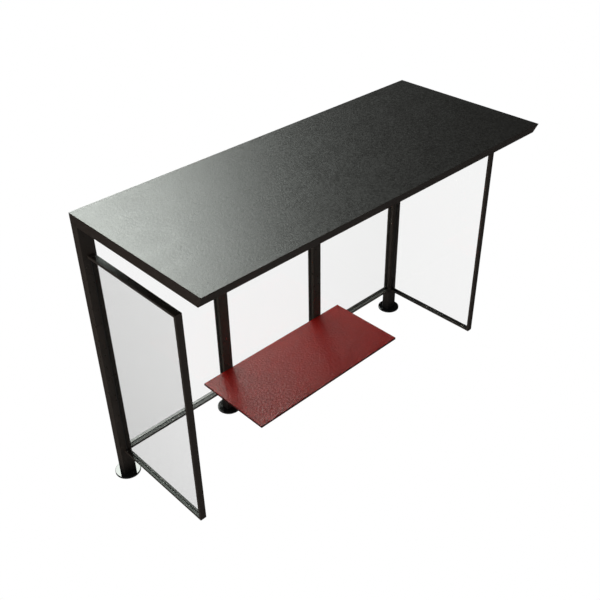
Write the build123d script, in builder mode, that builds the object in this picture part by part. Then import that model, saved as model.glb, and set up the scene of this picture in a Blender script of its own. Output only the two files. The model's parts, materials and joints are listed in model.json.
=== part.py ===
from build123d import *
import os

# A slim steel and glass desk. Four square-section posts stand in one row under the back edge of a
# board, three glass panes close the bays between them, and a framed glass wing runs forward from each
# end post. A low red tray sticks out from the two middle posts. Each post stands on a round foot that
# screws in and out to level the desk.
#
# Millimetres. X runs along the desk, -Y is the sitter's side, Z is up from the floor. The origin is
# the bottom centre of the whole desk, feet included.

# Driving dimensions
BOARD_LENGTH = 1000.0
BOARD_DEPTH = 415.0
BOARD_THICKNESS = 25.0
FRONT_UNDERCUT = 11.5
BOARD_EDGE_ROUND = 0.6
DESK_HEIGHT = 720.0

LEG_DEPTH = 22.0
END_LEG_WIDTH = 33.0
MIDDLE_LEG_WIDTH = 28.5
TUBE_WALL = 2.0
TUBE_CORNER = 1.0

BAR_WIDTH = 22.0
BAR_THICKNESS = 6.0
BAR_EDGE_ROUND = 0.4
LOW_RAIL_Z = 72.0
ARM_SETBACK = 60.0

WING_BAR_WIDTH = 15.5
WING_INSET = 11.25
WING_SETBACK = 102.0
WING_TOP_Z = 625.0

GLASS_THICKNESS = 4.0
GLASS_EDGE_CHAMFER = 0.4
GROOVE_WIDTH = 5.0
GROOVE_DEPTH = 3.0
STRIP_THICKNESS = 1.0

TRAY_LENGTH = 483.0
TRAY_DEPTH = 217.0
TRAY_THICKNESS = 6.0
TRAY_TOP_Z = 136.5
TRAY_EDGE_ROUND = 0.5
TRAY_FIXING_SETBACKS = (40.0, 130.0)

CLEAT_WIDTH = 24.0
CLEAT_REACH = 150.0
CLEAT_DROP = 42.0
CLEAT_THICKNESS = 4.0
CLEAT_BEND_RADIUS = 5.0
CLEAT_SCREW_DROPS = (16.0, 32.0)

FOOT_DIAMETER = 62.0
FOOT_THICKNESS = 5.0
FOOT_TOP_ROUND = 1.2
FOOT_BOTTOM_CHAMFER = 0.5
STUD_RADIUS = 3.9
STUD_LENGTH = 27.0
STUD_END_CHAMFER = 0.8
PLUG_HEIGHT = 20.0
PLUG_BORE_RADIUS = 4.0

BOARD_SCREWS_PER_ARM = 3
BOARD_SCREW_PITCH = 130.0
BOARD_SCREW_RADIUS = 1.95
BOARD_SCREW_HOLE_RADIUS = 2.0
BOARD_SCREW_CLEARANCE_RADIUS = 2.5
BOARD_SCREW_HEAD_RADIUS = 4.0
BOARD_SCREW_HEAD_HEIGHT = 2.2
BOARD_SCREW_BITE = 16.0

M5_RADIUS = 2.45
M5_HOLE_RADIUS = 2.5
M5_CLEARANCE_RADIUS = 2.75
M5_HEAD_RADIUS = 4.7
M5_HEAD_HEIGHT = 2.7
M5_SCREW_LENGTH = 12.0
M5_NUT_ACROSS_FLATS = 8.0
M5_NUT_HEIGHT = 4.0
TRAY_STUD_LENGTH = 11.0

RIVET_NUT_RADIUS = 4.4
RIVET_NUT_HOLE_RADIUS = 4.5
RIVET_NUT_FLANGE_RADIUS = 6.5
RIVET_NUT_FLANGE_THICKNESS = 1.0
RIVET_NUT_LENGTH = 14.0
RIVET_NUT_BORE_RADIUS = 2.5
WALL_FIXING_HEIGHTS = (180.0, 580.0)

# Places that follow from them
FOOT_OVERHANG = (FOOT_DIAMETER - LEG_DEPTH) / 2
FRONT_Y = -(BOARD_DEPTH + FOOT_OVERHANG) / 2
BACK_Y = FRONT_Y + BOARD_DEPTH
LEG_Y = BACK_Y - LEG_DEPTH / 2
LEG_FRONT_Y = BACK_Y - LEG_DEPTH
BOARD_UNDER_Z = DESK_HEIGHT - BOARD_THICKNESS
ARM_Z = BOARD_UNDER_Z - BAR_THICKNESS
ARM_FRONT_Y = FRONT_Y + ARM_SETBACK

BAY_WIDTH = (BOARD_LENGTH - 2 * END_LEG_WIDTH - 2 * MIDDLE_LEG_WIDTH) / 3
END_LEG_X = (BOARD_LENGTH - END_LEG_WIDTH) / 2
MIDDLE_LEG_X = (BAY_WIDTH + MIDDLE_LEG_WIDTH) / 2
BAY_PITCH = BAY_WIDTH + MIDDLE_LEG_WIDTH

WING_X = BOARD_LENGTH / 2 - WING_INSET - WING_BAR_WIDTH / 2
WING_FRONT_Y = FRONT_Y + WING_SETBACK
WING_RAIL_FRONT_Y = WING_FRONT_Y + BAR_THICKNESS

GLASS_LOW_Z = LOW_RAIL_Z + BAR_THICKNESS - GROOVE_DEPTH + STRIP_THICKNESS
BACK_GLASS_HIGH_Z = ARM_Z + GROOVE_DEPTH - STRIP_THICKNESS
WING_GLASS_HIGH_Z = WING_TOP_Z - BAR_THICKNESS + GROOVE_DEPTH - STRIP_THICKNESS
WING_GLASS_FRONT_Y = WING_RAIL_FRONT_Y - GROOVE_DEPTH + STRIP_THICKNESS
WING_GLASS_BACK_Y = LEG_FRONT_Y - STRIP_THICKNESS

TRAY_UNDER_Z = TRAY_TOP_Z - TRAY_THICKNESS
TRAY_FIXING_YS = [LEG_FRONT_Y - setback for setback in TRAY_FIXING_SETBACKS]
CLEAT_SCREW_ZS = [TRAY_UNDER_Z - drop for drop in CLEAT_SCREW_DROPS]
BOARD_SCREW_MID_Y = (ARM_FRONT_Y + LEG_FRONT_Y) / 2

LEGS = {
    "end_left": (-END_LEG_X, END_LEG_WIDTH),
    "middle_left": (-MIDDLE_LEG_X, MIDDLE_LEG_WIDTH),
    "middle_right": (MIDDLE_LEG_X, MIDDLE_LEG_WIDTH),
    "end_right": (END_LEG_X, END_LEG_WIDTH),
}
BAYS = {"left": -BAY_PITCH, "centre": 0.0, "right": BAY_PITCH}
WINGS = {"left": -WING_X, "right": WING_X}

os.makedirs("parts", exist_ok=True)


def save(piece, name):
    """Label a finished piece and write its STEP file."""
    piece.part.label = name
    export_step(piece.part, f"parts/{name}.step")


def block(low, high, mode=Mode.ADD):
    """A box between two corners, inside the current part."""
    size = [high[i] - low[i] for i in range(3)]
    with Locations(tuple(low)):
        Box(*size, align=(Align.MIN, Align.MIN, Align.MIN), mode=mode)


def drill(points, radius, axis, length):
    """Round holes through the current part, centred on the points, along Y or Z."""
    turn = (90, 0, 0) if axis == "Y" else (0, 0, 0)
    with Locations(*points):
        Cylinder(radius, length, rotation=turn, mode=Mode.SUBTRACT)


def board_screw_points(z):
    """Where the screws come up through the four arms, at height z."""
    middle = (BOARD_SCREWS_PER_ARM - 1) / 2
    rows = [BOARD_SCREW_MID_Y + (i - middle) * BOARD_SCREW_PITCH for i in range(BOARD_SCREWS_PER_ARM)]
    return [(x, y, z) for x, _ in LEGS.values() for y in rows]


def make_board():
    """The desk board, with its front edge cut back towards the underside."""
    with BuildPart() as board:
        with BuildSketch(Plane.YZ.offset(-BOARD_LENGTH / 2)):
            with BuildLine():
                Polyline(
                    (FRONT_Y, DESK_HEIGHT),
                    (BACK_Y, DESK_HEIGHT),
                    (BACK_Y, BOARD_UNDER_Z),
                    (FRONT_Y + FRONT_UNDERCUT, BOARD_UNDER_Z),
                    close=True,
                )
            make_face()
        extrude(amount=BOARD_LENGTH)
        fillet(board.edges(), BOARD_EDGE_ROUND)
        drill(board_screw_points(BOARD_UNDER_Z), BOARD_SCREW_HOLE_RADIUS, "Z", 2 * BOARD_SCREW_BITE)
    save(board, "desk_board")


def make_leg(side, x, width):
    """A rectangular steel tube, with the holes that its fixings need."""
    z_low = FOOT_THICKNESS
    with BuildPart() as leg:
        with BuildSketch(Plane.XY.offset(z_low)):
            with Locations((x, LEG_Y)):
                RectangleRounded(width, LEG_DEPTH, TUBE_CORNER)
                RectangleRounded(
                    width - 2 * TUBE_WALL,
                    LEG_DEPTH - 2 * TUBE_WALL,
                    TUBE_CORNER / 2,
                    mode=Mode.SUBTRACT,
                )
        extrude(amount=BOARD_UNDER_Z - z_low)
        if side.startswith("end"):
            drill([(x, BACK_Y, z) for z in WALL_FIXING_HEIGHTS], RIVET_NUT_HOLE_RADIUS, "Y", LEG_DEPTH / 2)
        else:
            drill([(x, LEG_FRONT_Y, z) for z in CLEAT_SCREW_ZS], M5_HOLE_RADIUS, "Y", LEG_DEPTH / 2)
    save(leg, f"leg_{side}")


def make_leg_plug(side, x, width):
    """The threaded plug in a leg's foot end."""
    with BuildPart() as plug:
        with BuildSketch(Plane.XY.offset(FOOT_THICKNESS)):
            with Locations((x, LEG_Y)):
                RectangleRounded(width - 2 * TUBE_WALL, LEG_DEPTH - 2 * TUBE_WALL, TUBE_CORNER / 2)
                Circle(PLUG_BORE_RADIUS, mode=Mode.SUBTRACT)
        extrude(amount=PLUG_HEIGHT)
    save(plug, f"leg_plug_{side}")


def make_foot(side, x):
    """A levelling foot: a round disc and the stud that screws into the leg's plug."""
    with BuildPart() as disc:
        with BuildSketch():
            with Locations((x, LEG_Y)):
                Circle(FOOT_DIAMETER / 2)
        extrude(amount=FOOT_THICKNESS)
        fillet(disc.faces().sort_by(Axis.Z)[-1].edges(), FOOT_TOP_ROUND)
        chamfer(disc.faces().sort_by(Axis.Z)[0].edges(), FOOT_BOTTOM_CHAMFER)
    save(disc, f"foot_disc_{side}")

    with BuildPart() as stud:
        with BuildSketch(Plane.XY.offset(FOOT_THICKNESS)):
            with Locations((x, LEG_Y)):
                Circle(STUD_RADIUS)
        extrude(amount=STUD_LENGTH)
        chamfer(stud.faces().sort_by(Axis.Z)[-1].edges(), STUD_END_CHAMFER)
    save(stud, f"foot_stud_{side}")


def make_arm(side, x):
    """A flat bar under the board that carries it forward of one leg."""
    with BuildPart() as arm:
        block((x - BAR_WIDTH / 2, ARM_FRONT_Y, ARM_Z), (x + BAR_WIDTH / 2, LEG_FRONT_Y, BOARD_UNDER_Z))
        fillet(arm.edges().filter_by(Axis.Y), BAR_EDGE_ROUND)
        points = [p for p in board_screw_points(ARM_Z) if p[0] == x]
        drill(points, BOARD_SCREW_CLEARANCE_RADIUS, "Z", 3 * BAR_THICKNESS)
    save(arm, f"board_arm_{side}")


def make_bay(name, x):
    """One bay of the back: top rail, low rail, pane and the strips that bed it."""
    left = x - BAY_WIDTH / 2
    right = x + BAY_WIDTH / 2
    groove_front = LEG_Y - GROOVE_WIDTH / 2
    groove_back = LEG_Y + GROOVE_WIDTH / 2

    with BuildPart() as top_rail:
        block((left, LEG_FRONT_Y, ARM_Z), (right, BACK_Y, BOARD_UNDER_Z))
        fillet(top_rail.edges().filter_by(Axis.X), BAR_EDGE_ROUND)
        block((left, groove_front, ARM_Z), (right, groove_back, ARM_Z + GROOVE_DEPTH), Mode.SUBTRACT)
    save(top_rail, f"top_rail_{name}")

    low_rail_top = LOW_RAIL_Z + BAR_THICKNESS
    with BuildPart() as low_rail:
        block((left, LEG_FRONT_Y, LOW_RAIL_Z), (right, BACK_Y, low_rail_top))
        fillet(low_rail.edges().filter_by(Axis.X), BAR_EDGE_ROUND)
        block(
            (left, groove_front, low_rail_top - GROOVE_DEPTH),
            (right, groove_back, low_rail_top),
            Mode.SUBTRACT,
        )
    save(low_rail, f"low_rail_{name}")

    glass_left = left + STRIP_THICKNESS
    glass_right = right - STRIP_THICKNESS
    glass_front = LEG_Y - GLASS_THICKNESS / 2
    glass_back = LEG_Y + GLASS_THICKNESS / 2
    with BuildPart() as pane:
        block((glass_left, glass_front, GLASS_LOW_Z), (glass_right, glass_back, BACK_GLASS_HIGH_Z))
        chamfer(pane.edges().filter_by(Axis.Z), GLASS_EDGE_CHAMFER)
    save(pane, f"back_pane_{name}")

    with BuildPart() as strips:
        for z in (GLASS_LOW_Z - STRIP_THICKNESS, BACK_GLASS_HIGH_Z):
            block((left, groove_front, z), (right, groove_back, z + STRIP_THICKNESS))
        for x_low in (left, glass_right):
            block(
                (x_low, groove_front, GLASS_LOW_Z),
                (x_low + STRIP_THICKNESS, groove_back, BACK_GLASS_HIGH_Z),
            )
    save(strips, f"back_pane_strips_{name}")


def make_wing(name, x):
    """A framed glass wing beside the sitter: post, two rails, pane and its bedding strips."""
    low_x = x - WING_BAR_WIDTH / 2
    high_x = x + WING_BAR_WIDTH / 2
    groove_low_x = x - GROOVE_WIDTH / 2
    groove_high_x = x + GROOVE_WIDTH / 2
    strip_low_z = GLASS_LOW_Z - STRIP_THICKNESS
    strip_high_z = WING_GLASS_HIGH_Z + STRIP_THICKNESS
    strip_front_y = WING_GLASS_FRONT_Y - STRIP_THICKNESS

    with BuildPart() as post:
        block((low_x, WING_FRONT_Y, LOW_RAIL_Z), (high_x, WING_RAIL_FRONT_Y, WING_TOP_Z))
        fillet(post.edges().filter_by(Axis.Z), BAR_EDGE_ROUND)
        block(
            (groove_low_x, strip_front_y, strip_low_z),
            (groove_high_x, WING_RAIL_FRONT_Y, strip_high_z),
            Mode.SUBTRACT,
        )
    save(post, f"wing_post_{name}")

    rails = {
        "low": (LOW_RAIL_Z, strip_low_z, LOW_RAIL_Z + BAR_THICKNESS),
        "top": (WING_TOP_Z - BAR_THICKNESS, WING_TOP_Z - BAR_THICKNESS, strip_high_z),
    }
    for level, (rail_z, groove_low_z, groove_high_z) in rails.items():
        with BuildPart() as rail:
            block((low_x, WING_RAIL_FRONT_Y, rail_z), (high_x, LEG_FRONT_Y, rail_z + BAR_THICKNESS))
            fillet(rail.edges().filter_by(Axis.Y), BAR_EDGE_ROUND)
            block(
                (groove_low_x, WING_RAIL_FRONT_Y, groove_low_z),
                (groove_high_x, LEG_FRONT_Y, groove_high_z),
                Mode.SUBTRACT,
            )
        save(rail, f"wing_{level}_rail_{name}")

    glass_low = (x - GLASS_THICKNESS / 2, WING_GLASS_FRONT_Y, GLASS_LOW_Z)
    glass_high = (x + GLASS_THICKNESS / 2, WING_GLASS_BACK_Y, WING_GLASS_HIGH_Z)
    with BuildPart() as pane:
        block(glass_low, glass_high)
        chamfer(pane.edges().filter_by(Axis.Z), GLASS_EDGE_CHAMFER)
    save(pane, f"wing_pane_{name}")

    with BuildPart() as strips:
        for z in (strip_low_z, WING_GLASS_HIGH_Z):
            block((groove_low_x, strip_front_y, z), (groove_high_x, LEG_FRONT_Y, z + STRIP_THICKNESS))
        for y_low in (strip_front_y, WING_GLASS_BACK_Y):
            block(
                (groove_low_x, y_low, GLASS_LOW_Z),
                (groove_high_x, y_low + STRIP_THICKNESS, WING_GLASS_HIGH_Z),
            )
    save(strips, f"wing_pane_strips_{name}")


def make_tray():
    """The low red tray: one flat sheet against the front of the middle legs."""
    with BuildPart() as tray:
        block(
            (-TRAY_LENGTH / 2, LEG_FRONT_Y - TRAY_DEPTH, TRAY_UNDER_Z),
            (TRAY_LENGTH / 2, LEG_FRONT_Y, TRAY_TOP_Z),
        )
        fillet(tray.edges(), TRAY_EDGE_ROUND)
    save(tray, "tray")


def make_cleat(name, x):
    """A bent steel cleat that carries the tray on one middle leg."""
    with BuildPart() as cleat:
        with BuildSketch(Plane.YZ.offset(x - CLEAT_WIDTH / 2)):
            with BuildLine():
                Polyline(
                    (LEG_FRONT_Y, TRAY_UNDER_Z),
                    (LEG_FRONT_Y, TRAY_UNDER_Z - CLEAT_DROP),
                    (LEG_FRONT_Y - CLEAT_THICKNESS, TRAY_UNDER_Z - CLEAT_DROP),
                    (LEG_FRONT_Y - CLEAT_THICKNESS, TRAY_UNDER_Z - CLEAT_THICKNESS),
                    (LEG_FRONT_Y - CLEAT_REACH, TRAY_UNDER_Z - CLEAT_THICKNESS),
                    (LEG_FRONT_Y - CLEAT_REACH, TRAY_UNDER_Z),
                    close=True,
                )
            make_face()
        extrude(amount=CLEAT_WIDTH)
        bend = cleat.edges().filter_by(Axis.X).sort_by(
            lambda e: abs(e.center().Y - LEG_FRONT_Y + CLEAT_THICKNESS)
            + abs(e.center().Z - TRAY_UNDER_Z + CLEAT_THICKNESS)
        )[0]
        fillet(bend, CLEAT_BEND_RADIUS)
        drill([(x, y, TRAY_UNDER_Z) for y in TRAY_FIXING_YS], M5_CLEARANCE_RADIUS, "Z", 3 * CLEAT_THICKNESS)
        drill([(x, LEG_FRONT_Y, z) for z in CLEAT_SCREW_ZS], M5_CLEARANCE_RADIUS, "Y", 3 * CLEAT_THICKNESS)
    save(cleat, f"tray_cleat_{name}")


def make_board_screws():
    """Pan-head wood screws up through the arms into the board."""
    with BuildPart() as screws:
        with Locations(*board_screw_points(ARM_Z)):
            Cylinder(
                BOARD_SCREW_HEAD_RADIUS,
                BOARD_SCREW_HEAD_HEIGHT,
                align=(Align.CENTER, Align.CENTER, Align.MAX),
            )
            Cylinder(
                BOARD_SCREW_RADIUS,
                BAR_THICKNESS + BOARD_SCREW_BITE,
                align=(Align.CENTER, Align.CENTER, Align.MIN),
            )
    save(screws, "board_screws")


def make_tray_fixings():
    """Weld studs under the tray, their nuts, and the screws from the cleats into the legs."""
    tray_points = [(x, y) for x in (-MIDDLE_LEG_X, MIDDLE_LEG_X) for y in TRAY_FIXING_YS]
    with BuildPart() as studs:
        with BuildSketch(Plane.XY.offset(TRAY_UNDER_Z)):
            with Locations(*tray_points):
                Circle(M5_RADIUS)
        extrude(amount=-TRAY_STUD_LENGTH)
    save(studs, "tray_studs")

    with BuildPart() as nuts:
        with BuildSketch(Plane.XY.offset(TRAY_UNDER_Z - CLEAT_THICKNESS)):
            with Locations(*tray_points):
                RegularPolygon(M5_NUT_ACROSS_FLATS / 2, 6, major_radius=False)
                Circle(M5_HOLE_RADIUS, mode=Mode.SUBTRACT)
        extrude(amount=-M5_NUT_HEIGHT)
    save(nuts, "tray_nuts")

    screw_points = [
        (x, LEG_FRONT_Y - CLEAT_THICKNESS, z) for x in (-MIDDLE_LEG_X, MIDDLE_LEG_X) for z in CLEAT_SCREW_ZS
    ]
    with BuildPart() as screws:
        with Locations(*screw_points):
            Cylinder(
                M5_HEAD_RADIUS,
                M5_HEAD_HEIGHT,
                rotation=(90, 0, 0),
                align=(Align.CENTER, Align.CENTER, Align.MIN),
            )
            Cylinder(
                M5_RADIUS,
                M5_SCREW_LENGTH,
                rotation=(90, 0, 0),
                align=(Align.CENTER, Align.CENTER, Align.MAX),
            )
    save(screws, "cleat_screws")


def make_wall_fixings():
    """M6 rivet nuts in the backs of the end legs, for fixing the desk to a wall."""
    points = [(x, BACK_Y, z) for x in (-END_LEG_X, END_LEG_X) for z in WALL_FIXING_HEIGHTS]
    with BuildPart() as rivet_nuts:
        with Locations(*points):
            Cylinder(
                RIVET_NUT_FLANGE_RADIUS,
                RIVET_NUT_FLANGE_THICKNESS,
                rotation=(90, 0, 0),
                align=(Align.CENTER, Align.CENTER, Align.MAX),
            )
            Cylinder(
                RIVET_NUT_RADIUS,
                RIVET_NUT_LENGTH,
                rotation=(90, 0, 0),
                align=(Align.CENTER, Align.CENTER, Align.MIN),
            )
        drill(points, RIVET_NUT_BORE_RADIUS, "Y", 3 * RIVET_NUT_LENGTH)
    save(rivet_nuts, "wall_rivet_nuts")


make_board()
for side, (leg_x, leg_width) in LEGS.items():
    make_leg(side, leg_x, leg_width)
    make_leg_plug(side, leg_x, leg_width)
    make_foot(side, leg_x)
    make_arm(side, leg_x)
for bay, bay_x in BAYS.items():
    make_bay(bay, bay_x)
for wing, wing_x in WINGS.items():
    make_wing(wing, wing_x)
make_tray()
make_cleat("left", -MIDDLE_LEG_X)
make_cleat("right", MIDDLE_LEG_X)
make_board_screws()
make_tray_fixings()
make_wall_fixings()
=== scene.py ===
import json
import math

import bpy
from mathutils import Euler, Matrix, Vector


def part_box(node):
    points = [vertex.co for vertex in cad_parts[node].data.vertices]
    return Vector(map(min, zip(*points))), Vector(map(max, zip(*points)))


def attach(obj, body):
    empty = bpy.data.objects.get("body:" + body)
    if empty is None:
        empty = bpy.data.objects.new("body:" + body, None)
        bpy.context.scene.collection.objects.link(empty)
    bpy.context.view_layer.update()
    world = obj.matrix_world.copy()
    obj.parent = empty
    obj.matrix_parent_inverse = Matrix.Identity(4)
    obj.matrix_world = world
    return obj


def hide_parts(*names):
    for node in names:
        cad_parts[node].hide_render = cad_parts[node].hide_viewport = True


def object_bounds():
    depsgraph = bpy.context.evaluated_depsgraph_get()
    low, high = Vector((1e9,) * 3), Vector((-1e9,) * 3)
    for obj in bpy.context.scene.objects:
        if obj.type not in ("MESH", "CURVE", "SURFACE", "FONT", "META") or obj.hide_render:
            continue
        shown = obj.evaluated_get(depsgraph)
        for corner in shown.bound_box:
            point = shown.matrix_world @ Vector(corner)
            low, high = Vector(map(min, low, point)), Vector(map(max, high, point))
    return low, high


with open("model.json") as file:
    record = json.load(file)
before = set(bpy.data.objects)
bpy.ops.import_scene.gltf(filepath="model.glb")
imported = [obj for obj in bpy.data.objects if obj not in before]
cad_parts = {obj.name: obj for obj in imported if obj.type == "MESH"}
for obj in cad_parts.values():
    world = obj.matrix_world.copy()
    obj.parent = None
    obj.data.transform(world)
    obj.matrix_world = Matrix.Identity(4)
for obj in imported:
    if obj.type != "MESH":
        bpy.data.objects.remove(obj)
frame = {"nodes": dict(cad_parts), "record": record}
CAD_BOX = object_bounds()
NODES = frame["nodes"]
MM = 0.001
SIDES = ("end_left", "middle_left", "middle_right", "end_right")

# Camera and lights, in metres, degrees and watts. Headings turn from +X towards +Y. A mirrored light
# shows in glossy surfaces; one that lights also brightens surfaces evenly.
CAMERA_PLACE = Vector((-1.1467, -1.1397, 1.4968))
CAMERA_TURN = (54.890, 0.867, -43.978)
CAMERA_LENS = 49.454
LIGHT_DISTANCE = 14.0
WINDOW_LIGHT = {
    "heading": 74.5, "height": 39, "roll": -24, "size": (6.8, 6.4), "power": 2330,
    "mirrored": True, "lights": False,
}
WINDOW_COLOUR = (0.94, 1.0, 0.94)
LEFT_LIGHT = {
    "heading": 190, "height": 6, "roll": 0, "size": (8.4, 2.4), "power": 2300,
    "mirrored": False, "lights": True,
}
FRONT_LIGHT = {
    "heading": 285, "height": 6, "roll": 0, "size": (8.4, 2.4), "power": 300,
    "mirrored": False, "lights": True,
}
BACK_LIGHT = {
    "heading": 97, "height": 5, "roll": 0, "size": (8.4, 2.4), "power": 900,
    "mirrored": False, "lights": True,
}

# The floor lies just below the feet when they are screwed right out.
FLOOR_SIZE = 60.0
FLOOR_Z = -0.0105

# The white surroundings: as seen, as light from the room and from the floor, and as mirrored.
SEEN_WHITE = 1.0
ROOM_FILL = 0.25
FLOOR_FILL = 0.6
ROOM_GLOSS = 0.02

# Noise values mostly lie in this range.
MID_NOISE = (0.3, 0.7)

# Rubbed edges: how far the normal turns, the size of the patches and the noise that makes them.
WEAR_SAMPLES = 4
WEAR_TURN = (0.985, 0.86)
WEAR_PATCH = 14 * MM
WEAR_NOISE = (0.42, 0.62)

# Painted shade darkening the lowest part of the posts towards the floor: where it starts, where it is
# full, and how much it covers.
PAINTED_FOOT_SHADE_START = 55 * MM
PAINTED_FOOT_SHADE_FULL = 10 * MM
PAINTED_FOOT_SHADE_COVER = 0.85


# ---------------------------------------------------------------- node helpers

def new_material(name, base, roughness, metallic=0.0, specular=0.5):
    """A material with a Principled shader: returns the material, its tree and the shader."""
    material = bpy.data.materials.new(name)
    material.use_nodes = True
    tree = material.node_tree
    shader = tree.nodes["Principled BSDF"]
    shader.inputs["Base Color"].default_value = (*base, 1.0)
    shader.inputs["Roughness"].default_value = roughness
    shader.inputs["Metallic"].default_value = metallic
    shader.inputs["Specular IOR Level"].default_value = specular
    return material, tree, shader


def place_on(tree):
    """The point on the piece, in metres, as a socket."""
    return tree.nodes.new("ShaderNodeTexCoord").outputs["Object"]


def stretched(tree, place, stretch):
    """The same point with its axes stretched, for brushed or streaky patterns."""
    node = tree.nodes.new("ShaderNodeVectorMath")
    node.operation = "MULTIPLY"
    tree.links.new(place, node.inputs[0])
    node.inputs[1].default_value = stretch
    return node.outputs["Vector"]


def noise(tree, place, grain, detail=3.0, roughness=0.6):
    """Noise whose grain is that many metres across."""
    node = tree.nodes.new("ShaderNodeTexNoise")
    node.inputs["Scale"].default_value = 1.0 / grain
    node.inputs["Detail"].default_value = detail
    node.inputs["Roughness"].default_value = roughness
    tree.links.new(place, node.inputs["Vector"])
    return node.outputs["Fac"]


def flecks(tree, place, grain, coverage):
    """1 inside small round flecks on a grid of cells, 0 between them."""
    node = tree.nodes.new("ShaderNodeTexVoronoi")
    node.inputs["Scale"].default_value = 1.0 / grain
    tree.links.new(place, node.inputs["Vector"])
    return remap(tree, node.outputs["Distance"], coverage, coverage * 0.6, 0.0, 1.0)


def remap(tree, value, low, high, to_low, to_high):
    """value carried from one range to another, clamped."""
    node = tree.nodes.new("ShaderNodeMapRange")
    tree.links.new(value, node.inputs["Value"])
    node.inputs["From Min"].default_value = low
    node.inputs["From Max"].default_value = high
    node.inputs["To Min"].default_value = to_low
    node.inputs["To Max"].default_value = to_high
    return node.outputs["Result"]


def times(tree, a, b):
    """The product of two sockets."""
    node = tree.nodes.new("ShaderNodeMath")
    node.operation = "MULTIPLY"
    tree.links.new(a, node.inputs[0])
    tree.links.new(b, node.inputs[1])
    return node.outputs["Value"]


def plus(tree, a, b):
    """The sum of two sockets, clamped to 1."""
    node = tree.nodes.new("ShaderNodeMath")
    node.operation = "ADD"
    node.use_clamp = True
    tree.links.new(a, node.inputs[0])
    tree.links.new(b, node.inputs[1])
    return node.outputs["Value"]


def tint(tree, factor, dark, light):
    """A colour between two, by factor."""
    node = tree.nodes.new("ShaderNodeMixRGB")
    tree.links.new(factor, node.inputs["Fac"])
    node.inputs["Color1"].default_value = (*dark, 1.0)
    node.inputs["Color2"].default_value = (*light, 1.0)
    return node.outputs["Color"]


def blend_colour(tree, factor, below, over):
    """The colour socket below, covered by a fixed colour where factor is 1."""
    node = tree.nodes.new("ShaderNodeMixRGB")
    tree.links.new(factor, node.inputs["Fac"])
    tree.links.new(below, node.inputs["Color1"])
    node.inputs["Color2"].default_value = (*over, 1.0)
    return node.outputs["Color"]


def edge_wear(tree, width, place):
    """1 on rubbed edges, 0 elsewhere: where a rounded normal leaves the flat one, in patches."""
    rounded = tree.nodes.new("ShaderNodeBevel")
    rounded.samples = WEAR_SAMPLES
    rounded.inputs["Radius"].default_value = width
    flat = tree.nodes.new("ShaderNodeNewGeometry")
    turn = tree.nodes.new("ShaderNodeVectorMath")
    turn.operation = "DOT_PRODUCT"
    tree.links.new(rounded.outputs["Normal"], turn.inputs[0])
    tree.links.new(flat.outputs["Normal"], turn.inputs[1])
    bent = remap(tree, turn.outputs["Value"], *WEAR_TURN, 0.0, 1.0)
    patches = remap(tree, noise(tree, place, WEAR_PATCH), *WEAR_NOISE, 0.0, 1.0)
    return times(tree, bent, patches)


def bump(tree, shader, layers):
    """Stack (height socket, strength, depth in metres) layers onto the shader's normal."""
    normal = None
    for height, strength, depth in layers:
        node = tree.nodes.new("ShaderNodeBump")
        node.inputs["Strength"].default_value = strength
        node.inputs["Distance"].default_value = depth
        tree.links.new(height, node.inputs["Height"])
        if normal:
            tree.links.new(normal, node.inputs["Normal"])
        normal = node.outputs["Normal"]
    tree.links.new(normal, shader.inputs["Normal"])


# ---------------------------------------------------------------- materials

def black_board():
    """Satin black laminate with a fine pearl speckle."""
    material, tree, shader = new_material("black_board", (0.012, 0.011, 0.010), 0.36)
    place = place_on(tree)
    grain = noise(tree, place, 4.6 * MM, 2.0)
    clouds = noise(tree, place, 60 * MM)
    fine = noise(tree, place, 1.5 * MM, 1.0)
    pearl = flecks(tree, place, 4.4 * MM, 0.34)
    worn = edge_wear(tree, 0.9 * MM, place)
    colour = tint(tree, grain, (0.008, 0.006, 0.005), (0.020, 0.015, 0.012))
    colour = blend_colour(tree, pearl, colour, (0.026, 0.022, 0.019))
    colour = blend_colour(tree, worn, colour, (0.06, 0.052, 0.045))
    tree.links.new(colour, shader.inputs["Base Color"])
    haze = remap(tree, clouds, *MID_NOISE, 0.0, 0.03)
    gloss = plus(tree, remap(tree, grain, *MID_NOISE, 0.32, 0.41), haze)
    tree.links.new(gloss, shader.inputs["Roughness"])
    tree.links.new(remap(tree, grain, *MID_NOISE, 0.42, 0.58), shader.inputs["Specular IOR Level"])
    bump(tree, shader, [(fine, 1.0, 0.03 * MM), (grain, 1.0, 0.20 * MM), (pearl, 0.5, 0.04 * MM)])
    return material


def black_frame():
    """Satin black powder coat with its fine orange-peel skin."""
    material, tree, shader = new_material("black_frame", (0.016, 0.013, 0.012), 0.38)
    place = place_on(tree)
    skin = noise(tree, place, 2.2 * MM, 2.0)
    clouds = noise(tree, place, 45 * MM)
    worn = edge_wear(tree, 0.6 * MM, place)
    colour = tint(tree, clouds, (0.013, 0.0105, 0.0085), (0.021, 0.0165, 0.0135))
    colour = blend_colour(tree, worn, colour, (0.055, 0.048, 0.042))
    # Painted shade: the lowest part of the posts is darkened towards the floor.
    colour = blend_colour(tree, painted_floor_shade(tree, place), colour, (0.003, 0.003, 0.003))
    tree.links.new(colour, shader.inputs["Base Color"])
    gloss = remap(tree, noise(tree, place, 8 * MM), *MID_NOISE, 0.26, 0.35)
    tree.links.new(gloss, shader.inputs["Roughness"])
    bump(tree, shader, [(skin, 0.22, 0.08 * MM)])
    return material


def painted_floor_shade(tree, place):
    """Painted shade on the lowest part of the posts, fading out upwards."""
    split = tree.nodes.new("ShaderNodeSeparateXYZ")
    tree.links.new(place, split.inputs["Vector"])
    return remap(tree, split.outputs["Z"], PAINTED_FOOT_SHADE_START, PAINTED_FOOT_SHADE_FULL, 0.0, PAINTED_FOOT_SHADE_COVER)


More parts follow.
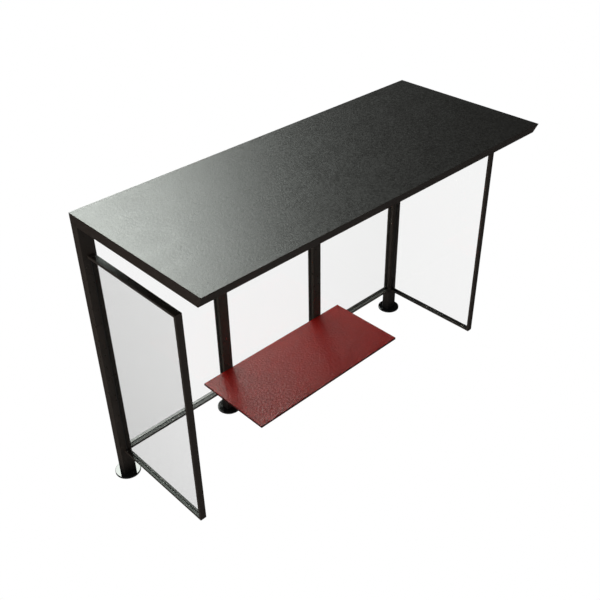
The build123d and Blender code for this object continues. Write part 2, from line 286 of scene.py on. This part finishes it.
def red_tray():
    """Semi-gloss red coat with a wrinkled skin, on a sheet whose upright edges are darkened by painted
    shade.
    """
    material, tree, shader = new_material("red_tray", (0.18, 0.006, 0.006), 0.18, specular=0.85)
    place = place_on(tree)
    wrinkle = noise(tree, place, 6.5 * MM, 2.0)
    grain = noise(tree, place, 4.0 * MM, 1.0)
    fine = noise(tree, place, 1.5 * MM, 1.0)
    clouds = noise(tree, place, 70 * MM)
    worn = edge_wear(tree, 0.8 * MM, place)
    mottle = plus(tree, times(tree, clouds, grain), times(tree, grain, grain))
    colour = tint(tree, mottle, (0.128, 0.003, 0.0025), (0.215, 0.008, 0.006))
    # Painted shade: the tray's upright edge faces are darkened.
    colour = blend_colour(tree, painted_edge_shade(tree), colour, (0.020, 0.0025, 0.0025))
    colour = blend_colour(tree, worn, colour, (0.04, 0.004, 0.004))
    tree.links.new(colour, shader.inputs["Base Color"])
    tree.links.new(remap(tree, grain, *MID_NOISE, 0.14, 0.20), shader.inputs["Roughness"])
    bump(tree, shader, [(fine, 1.0, 0.03 * MM), (wrinkle, 1.0, 0.72 * MM), (grain, 1.0, 0.15 * MM)])
    return material


def painted_edge_shade(tree):
    """1 on the upright faces of a flat sheet, 0 on its top and underside: the mask of the painted shade
    on the sheet's edges.
    """
    facing = tree.nodes.new("ShaderNodeTexCoord").outputs["Normal"]
    split = tree.nodes.new("ShaderNodeSeparateXYZ")
    tree.links.new(facing, split.inputs["Vector"])
    upright = times(tree, split.outputs["Z"], split.outputs["Z"])
    return remap(tree, upright, 0.5, 0.2, 0.0, 1.0)


def clear_glass():
    """Clear float glass: very faint green body, a little dust and a few wipe marks."""
    material, tree, shader = new_material("clear_glass", (0.99, 0.99, 0.99), 0.0)
    place = place_on(tree)
    shader.inputs["Transmission Weight"].default_value = 1.0
    shader.inputs["IOR"].default_value = 1.5
    wipes = noise(tree, stretched(tree, place, (1.0, 1.0, 0.25)), 40 * MM, 4.0)
    dust = flecks(tree, place, 9 * MM, 0.045)
    tree.links.new(remap(tree, wipes, 0.6, 0.9, 0.0, 0.02), shader.inputs["Roughness"])
    colour = tint(tree, wipes, (0.990, 0.992, 0.988), (1.0, 1.0, 0.998))
    colour = blend_colour(tree, dust, colour, (0.95, 0.95, 0.94))
    tree.links.new(colour, shader.inputs["Base Color"])
    bump(tree, shader, [(noise(tree, place, 150 * MM, 0.0), 0.02, 0.05 * MM)])
    let_lamps_through(tree, shader)
    return material


def let_lamps_through(tree, shader):
    """Glass that casts a pale shadow: lamps shine through it instead of stopping at it."""
    path = tree.nodes.new("ShaderNodeLightPath")
    clear = tree.nodes.new("ShaderNodeBsdfTransparent")
    clear.inputs["Color"].default_value = (0.93, 0.95, 0.94, 1.0)
    either = tree.nodes.new("ShaderNodeMixShader")
    tree.links.new(path.outputs["Is Shadow Ray"], either.inputs["Fac"])
    tree.links.new(shader.outputs["BSDF"], either.inputs[1])
    tree.links.new(clear.outputs["BSDF"], either.inputs[2])
    tree.links.new(either.outputs["Shader"], tree.nodes["Material Output"].inputs["Surface"])


def black_disc():
    """Gloss black enamel with fine scuffs from being turned and swept around."""
    material, tree, shader = new_material("black_disc", (0.006, 0.006, 0.006), 0.08)
    place = place_on(tree)
    hairs = noise(tree, stretched(tree, place, (1.0, 12.0, 1.0)), 3 * MM, 4.0)
    haze = noise(tree, place, 15 * MM)
    worn = edge_wear(tree, 0.5 * MM, place)
    colour = tint(tree, haze, (0.004, 0.004, 0.004), (0.009, 0.009, 0.009))
    tree.links.new(blend_colour(tree, worn, colour, (0.05, 0.05, 0.05)), shader.inputs["Base Color"])
    dull = remap(tree, haze, 0.4, 0.7, 0.0, 0.05)
    gloss = plus(tree, remap(tree, hairs, 0.55, 0.75, 0.04, 0.10), dull)
    tree.links.new(gloss, shader.inputs["Roughness"])
    bump(tree, shader, [(hairs, 0.04, 0.02 * MM)])
    return material


def zinc_steel():
    """Bright zinc plate, slightly blotched."""
    material, tree, shader = new_material("zinc_steel", (0.58, 0.59, 0.61), 0.32, metallic=1.0)
    place = place_on(tree)
    spangle = noise(tree, place, 1.5 * MM, 4.0)
    blotch = noise(tree, place, 5 * MM)
    colour = tint(tree, blotch, (0.44, 0.45, 0.46), (0.68, 0.69, 0.72))
    tree.links.new(colour, shader.inputs["Base Color"])
    tree.links.new(remap(tree, spangle, *MID_NOISE, 0.24, 0.46), shader.inputs["Roughness"])
    bump(tree, shader, [(spangle, 0.12, 0.03 * MM)])
    return material


def grey_plastic():
    """Dark grey moulded nylon."""
    material, tree, shader = new_material("grey_plastic", (0.05, 0.05, 0.052), 0.55)
    place = place_on(tree)
    grain = noise(tree, place, 0.8 * MM, 2.0)
    colour = tint(tree, noise(tree, place, 10 * MM), (0.042, 0.042, 0.044), (0.062, 0.062, 0.064))
    tree.links.new(colour, shader.inputs["Base Color"])
    tree.links.new(remap(tree, grain, *MID_NOISE, 0.46, 0.62), shader.inputs["Roughness"])
    bump(tree, shader, [(grain, 0.25, 0.04 * MM)])
    return material


def glazing_rubber():
    """Matt black rubber with a dusty bloom."""
    material, tree, shader = new_material("glazing_rubber", (0.02, 0.02, 0.02), 0.75)
    place = place_on(tree)
    bloom = noise(tree, place, 6 * MM, 4.0)
    colour = tint(tree, bloom, (0.006, 0.006, 0.006), (0.016, 0.015, 0.014))
    tree.links.new(colour, shader.inputs["Base Color"])
    tree.links.new(remap(tree, bloom, *MID_NOISE, 0.65, 0.85), shader.inputs["Roughness"])
    bump(tree, shader, [(noise(tree, place, 1.0 * MM), 0.2, 0.05 * MM)])
    return material


FINISHES = {
    make.__name__: make()
    for make in (
        black_board,
        black_frame,
        red_tray,
        clear_glass,
        black_disc,
        zinc_steel,
        grey_plastic,
        glazing_rubber,
    )
}


def finish_nodes():
    """Give every CAD node the finish of its material slot."""
    for part in frame["record"]["subparts"]:
        node = NODES[part["node"]]
        node.data.materials.clear()
        node.data.materials.append(FINISHES[part["material_slot"]])


# ---------------------------------------------------------------- fasteners

RING_POINTS = 36
RINGS_PER_TURN = 6
SHARP_EDGE = math.radians(32)

# Which way a turned shape points, as degrees about X from straight up.
UP, DOWN, FRONT, BACK = 0, 180, 90, -90

TRAY_FIXING_SETBACKS = (40 * MM, 130 * MM)
CLEAT_SCREW_DROPS = (16 * MM, 32 * MM)
CLEAT_THICKNESS = 4 * MM
BOARD_SCREW_SPACING = 130 * MM
WALL_FIXING_HEIGHTS = (180 * MM, 580 * MM)

# Shapes of the fasteners, in millimetres. A head lists (radius, height) from the shank outwards.
WOOD_THREAD_CREST = 1.95
WOOD_THREAD_PITCH = 1.6
PAN_HEAD = ((4.0, 0.0), (4.0, 0.7), (3.7, 1.3), (3.1, 1.8), (2.3, 2.1), (2.1, 2.2))
BUTTON_HEAD = ((4.7, 0.0), (4.7, 0.5), (4.4, 1.3), (3.6, 2.1), (2.6, 2.6), (2.3, 2.7))
M5_CREST = 2.45
M5_PITCH = 0.8
SOCKET_ACROSS = 3.0
NUT_ACROSS = 8.0
NUT_CORNER = 4.05
NUT_HEIGHT = 4.0
RIVET_BODY = 4.4
RIVET_LENGTH = 13.0
FOOT_THREAD_CREST = 3.9
FOOT_THREAD_PITCH = 1.25


def ring(radius_at, z):
    """A closed ring of points in millimetres, its radius given by the angle."""
    angles = [math.tau * i / RING_POINTS for i in range(RING_POINTS)]
    return [(radius_at(a) * math.cos(a), radius_at(a) * math.sin(a), z) for a in angles]


def circle(radius, z):
    return ring(lambda angle: radius, z)


def hexagon(across, z, clip=math.inf):
    """A hexagon across its flats, its corners cut back to a circle."""
    def radius_at(angle):
        off_flat = (angle + math.pi / 6) % (math.pi / 3) - math.pi / 6
        return min(across / 2 / math.cos(off_flat), clip)
    return ring(radius_at, z)


def cross(length, width, z):
    """The outline of a cross recess."""
    def radius_at(angle):
        off_arm = abs((angle + math.pi / 4) % (math.pi / 2) - math.pi / 4)
        if math.tan(off_arm) * length < width:
            return length / 2 / math.cos(off_arm)
        return width / 2 / math.sin(off_arm)
    return ring(radius_at, z)


def thread(crest, depth, pitch, low, high):
    """Rings of a helical thread from low to high. A negative depth cuts it into the wall of a bore."""
    count = round(abs(high - low) / pitch * RINGS_PER_TURN)
    rings = []
    for i in range(count + 1):
        z = low + (high - low) * i / count
        rings.append(
            ring(lambda a, z=z: crest - depth * abs(2 * ((z / pitch - a / math.tau) % 1) - 1), z)
        )
    return rings


def skin(rings, hollow):
    """Faces that join each ring to the next; a hollow piece joins its last ring to its first."""
    n = RING_POINTS
    pairs = list(zip(range(len(rings)), range(1, len(rings))))
    if hollow:
        pairs.append((len(rings) - 1, 0))
    faces = [
        (a * n + j, a * n + (j + 1) % n, b * n + (j + 1) % n, b * n + j)
        for a, b in pairs
        for j in range(n)
    ]
    if not hollow:
        faces.append(tuple(reversed(range(n))))
        faces.append(tuple(range((len(rings) - 1) * n, len(rings) * n)))
    return faces


def turned_pieces(name, node, rings, places, pointing, body, finish, hollow=False):
    """Copies of one turned shape at several places, as one piece that stands for a CAD node."""
    turn = Matrix.Rotation(math.radians(pointing), 4, "X")
    shape = [Vector(point) * MM for one in rings for point in one]
    points, faces = [], []
    for place in places:
        start = len(points)
        points += [Matrix.Translation(place) @ turn @ point for point in shape]
        faces += [tuple(start + i for i in face) for face in skin(rings, hollow)]
    mesh = bpy.data.meshes.new(name)
    mesh.from_pydata(points, [], faces)
    mesh.shade_smooth()
    mesh.set_sharp_from_angle(angle=SHARP_EDGE)
    mesh.materials.append(FINISHES[finish])
    piece = bpy.data.objects.new(name, mesh)
    bpy.context.scene.collection.objects.link(piece)
    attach(piece, body)
    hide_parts(node)


def board_screw_pieces():
    """Pan-head wood screws with a cross recess, up through the arms into the board."""
    rings = [circle(0.3, -22.0)]
    rings += thread(WOOD_THREAD_CREST, 0.4, WOOD_THREAD_PITCH, -20.0, -7.0)
    rings += [circle(WOOD_THREAD_CREST, -6.6), circle(WOOD_THREAD_CREST, 0.0)]
    rings += [circle(radius, z) for radius, z in PAN_HEAD]
    rings += [cross(3.8, 0.9, 2.2), cross(2.2, 0.7, 0.9)]
    places = []
    for side in SIDES:
        lo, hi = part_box(f"board_arm_{side}")
        middle = (lo + hi) / 2
        for step in (-1, 0, 1):
            places.append(Vector((middle.x, middle.y + step * BOARD_SCREW_SPACING, lo.z)))
    turned_pieces("board_screws_cross", "board_screws", rings, places, DOWN, "desk", "zinc_steel")


def cleat_screw_pieces():
    """Button-head screws with a hexagon socket, through the cleats into the posts."""
    rings = [circle(1.9, -12.0)]
    rings += thread(M5_CREST, 0.4, M5_PITCH, -11.5, -1.0)
    rings += [circle(2.3, 0.0)] + [circle(radius, z) for radius, z in BUTTON_HEAD]
    rings += [hexagon(SOCKET_ACROSS, 2.7), hexagon(SOCKET_ACROSS, 1.2)]
    places = []
    for name in ("left", "right"):
        lo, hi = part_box(f"tray_cleat_{name}")
        x = (lo.x + hi.x) / 2
        places += [Vector((x, hi.y - CLEAT_THICKNESS, hi.z - drop)) for drop in CLEAT_SCREW_DROPS]
    turned_pieces("cleat_screws_button", "cleat_screws", rings, places, FRONT, "desk", "zinc_steel")


def tray_fixing_pieces():
    """Threaded studs under the tray and their chamfered nuts."""
    stud = [circle(M5_CREST, 0.0)] + thread(M5_CREST, 0.35, M5_PITCH, 0.4, 10.4) + [circle(1.9, 11.0)]
    nut = [hexagon(NUT_ACROSS, 0.0, NUT_CORNER), hexagon(NUT_ACROSS, 0.4)]
    nut += [hexagon(NUT_ACROSS, 3.6), hexagon(NUT_ACROSS, NUT_HEIGHT, NUT_CORNER)]
    nut += [circle(2.85, NUT_HEIGHT), circle(2.5, 3.65), circle(2.5, 0.35), circle(2.85, 0.0)]
    places = []
    for name in ("left", "right"):
        lo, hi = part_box(f"tray_cleat_{name}")
        x = (lo.x + hi.x) / 2
        places += [Vector((x, hi.y - setback, hi.z)) for setback in TRAY_FIXING_SETBACKS]
    turned_pieces("tray_studs_threaded", "tray_studs", stud, places, DOWN, "desk", "zinc_steel")
    places = [place - Vector((0, 0, CLEAT_THICKNESS)) for place in places]
    turned_pieces("tray_nuts_hex", "tray_nuts", nut, places, DOWN, "desk", "zinc_steel", hollow=True)


def rivet_nut_pieces():
    """Flanged rivet nuts in the back of the end posts, threaded inside."""
    rings = [circle(RIVET_BODY, -RIVET_LENGTH), circle(RIVET_BODY, 0.0)]
    rings += [circle(6.5, 0.0), circle(6.5, 0.6), circle(6.2, 1.0), circle(2.9, 1.0)]
    rings += thread(2.5, -0.3, M5_PITCH, 0.6, -12.4) + [circle(2.8, -RIVET_LENGTH)]
    places = []
    for side in ("end_left", "end_right"):
        lo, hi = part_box(f"leg_{side}")
        places += [Vector(((lo.x + hi.x) / 2, hi.y, z)) for z in WALL_FIXING_HEIGHTS]
    turned_pieces(
        "wall_rivet_nuts_bored", "wall_rivet_nuts", rings, places, BACK, "desk", "zinc_steel", hollow=True
    )


def foot_stud_pieces():
    """The threaded stud of each levelling foot, which moves with its disc."""
    rings = [circle(FOOT_THREAD_CREST, 0.0), circle(FOOT_THREAD_CREST, 0.8)]
    rings += thread(FOOT_THREAD_CREST, 0.65, FOOT_THREAD_PITCH, 1.2, 25.9) + [circle(3.0, 27.0)]
    for side in SIDES:
        lo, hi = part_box(f"foot_stud_{side}")
        place = Vector(((lo.x + hi.x) / 2, (lo.y + hi.y) / 2, lo.z))
        name = f"foot_stud_threaded_{side}"
        turned_pieces(name, f"foot_stud_{side}", rings, [place], UP, f"foot_{side}", "zinc_steel")


# ---------------------------------------------------------------- glazing

# The gasket in millimetres: round the pane's edge, over its faces, how thick there, how rounded.
GASKET_BASE = 1.0
GASKET_LIP = 1.5
GASKET_LIP_THICKNESS = 0.45
GASKET_ROUND = 0.2


def gasket_section(width):
    """A U section round a pane's edge: (depth inwards, place across the pane), in millimetres."""
    reach = GASKET_BASE + GASKET_LIP
    half = [
        (0.0, 0.0),
        (reach - GASKET_ROUND, 0.0),
        (reach, GASKET_ROUND),
        (reach, GASKET_LIP_THICKNESS),
        (GASKET_BASE, GASKET_LIP_THICKNESS),
    ]
    return half + [(depth, width - across) for depth, across in reversed(half)]


def gasket_piece(name, strips, across):
    """A rubber gasket all round one pane, its lips on both faces.

    across is the axis through the pane's thickness: 0 for X, 1 for Y.
    """
    lo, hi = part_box(strips)
    along = 1 - across
    section = gasket_section((hi[across] - lo[across]) / MM)
    corners = [
        (lo[along], lo.z, 1, 1),
        (hi[along], lo.z, -1, 1),
        (hi[along], hi.z, -1, -1),
        (lo[along], hi.z, 1, -1),
    ]
    points = []
    for u, z, u_inwards, z_inwards in corners:
        for depth, place in section:
            point = Vector((0, 0, z + z_inwards * depth * MM))
            point[along] = u + u_inwards * depth * MM
            point[across] = lo[across] + place * MM
            points.append(point)
    n = len(section)
    faces = [
        (c * n + i, c * n + (i + 1) % n, (c + 1) % 4 * n + (i + 1) % n, (c + 1) % 4 * n + i)
        for c in range(4)
        for i in range(n)
    ]
    mesh = bpy.data.meshes.new(name)
    mesh.from_pydata(points, [], faces)
    mesh.materials.append(FINISHES["glazing_rubber"])
    gasket = bpy.data.objects.new(name, mesh)
    bpy.context.scene.collection.objects.link(gasket)
    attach(gasket, "desk")
    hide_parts(strips)


def glazing_pieces():
    """The gaskets of the three back panes and the two wing panes."""
    for name in ("left", "centre", "right"):
        gasket_piece(f"back_gasket_{name}", f"back_pane_strips_{name}", across=1)
    for name in ("left", "right"):
        gasket_piece(f"wing_gasket_{name}", f"wing_pane_strips_{name}", across=0)


# ---------------------------------------------------------------- stage, light and camera

def light_path_mix(tree, seen, gloss, fill):
    """A brightness for each kind of ray: seen directly or through glass, mirrored, or lighting."""
    path = tree.nodes.new("ShaderNodeLightPath")
    lit = remap(tree, path.outputs["Is Diffuse Ray"], 0.0, 1.0, seen, fill)
    level = tree.nodes.new("ShaderNodeMapRange")
    tree.links.new(path.outputs["Glossy Depth"], level.inputs["Value"])
    tree.links.new(lit, level.inputs["To Min"])
    level.inputs["To Max"].default_value = gloss
    return level.outputs["Result"]


def make_floor():
    """A plain white floor, lit evenly from itself so that it carries no hard shadow."""
    mesh = bpy.data.meshes.new("floor")
    half = FLOOR_SIZE / 2
    outline = ((-half, -half), (half, -half), (half, half), (-half, half))
    mesh.from_pydata([(x, y, FLOOR_Z) for x, y in outline], [], [(0, 1, 2, 3)])
    floor = bpy.data.objects.new("floor", mesh)
    bpy.context.scene.collection.objects.link(floor)
    material = bpy.data.materials.new("floor")
    material.use_nodes = True
    tree = material.node_tree
    tree.nodes.remove(tree.nodes["Principled BSDF"])
    glow = tree.nodes.new("ShaderNodeEmission")
    tree.links.new(light_path_mix(tree, SEEN_WHITE, ROOM_GLOSS, FLOOR_FILL), glow.inputs["Strength"])
    tree.links.new(glow.outputs["Emission"], tree.nodes["Material Output"].inputs["Surface"])
    mesh.materials.append(material)


def make_room():
    """White all round to the eye, a dim even room to the surfaces."""
    world = bpy.data.worlds.new("room")
    bpy.context.scene.world = world
    world.use_nodes = True
    tree = world.node_tree
    background = tree.nodes["Background"]
    background.inputs["Color"].default_value = (1.0, 1.0, 1.0, 1.0)
    tree.links.new(light_path_mix(tree, SEEN_WHITE, ROOM_GLOSS, ROOM_FILL), background.inputs["Strength"])


def make_light(name, heading, height, roll, size, power, mirrored, lights):
    """A soft rectangular light facing the desk's middle."""
    light = bpy.data.lights.new(name, "AREA")
    light.shape = "RECTANGLE"
    light.size, light.size_y = size
    light.energy = power
    lamp = bpy.data.objects.new(name, light)
    bpy.context.scene.collection.objects.link(lamp)
    around, up = math.radians(heading), math.radians(height)
    direction = Vector((math.cos(around) * math.cos(up), math.sin(around) * math.cos(up), math.sin(up)))
    lo, hi = CAD_BOX
    lamp.location = (lo + hi) / 2 + direction * LIGHT_DISTANCE
    facing = direction.to_track_quat("Z", "Y").to_matrix() @ Matrix.Rotation(math.radians(roll), 3, "Z")
    lamp.rotation_euler = facing.to_euler()
    lamp.visible_camera = False
    lamp.visible_transmission = False
    lamp.visible_glossy = mirrored
    lamp.visible_diffuse = lights
    return light


def make_camera():
    """The camera, at the height and heading that the desk is seen from."""
    data = bpy.data.cameras.new("camera")
    data.lens = CAMERA_LENS
    camera = bpy.data.objects.new("camera", data)
    bpy.context.scene.collection.objects.link(camera)
    camera.location = CAMERA_PLACE
    camera.rotation_euler = Euler([math.radians(a) for a in CAMERA_TURN], "XYZ")
    bpy.context.scene.camera = camera
    bpy.context.scene.view_settings.view_transform = "Standard"


finish_nodes()
board_screw_pieces()
cleat_screw_pieces()
tray_fixing_pieces()
rivet_nut_pieces()
foot_stud_pieces()
glazing_pieces()
make_floor()
make_room()
make_light("window_light", **WINDOW_LIGHT).color = WINDOW_COLOUR
make_light("left_light", **LEFT_LIGHT)
make_light("front_light", **FRONT_LIGHT)
make_light("back_light", **BACK_LIGHT)
make_camera()
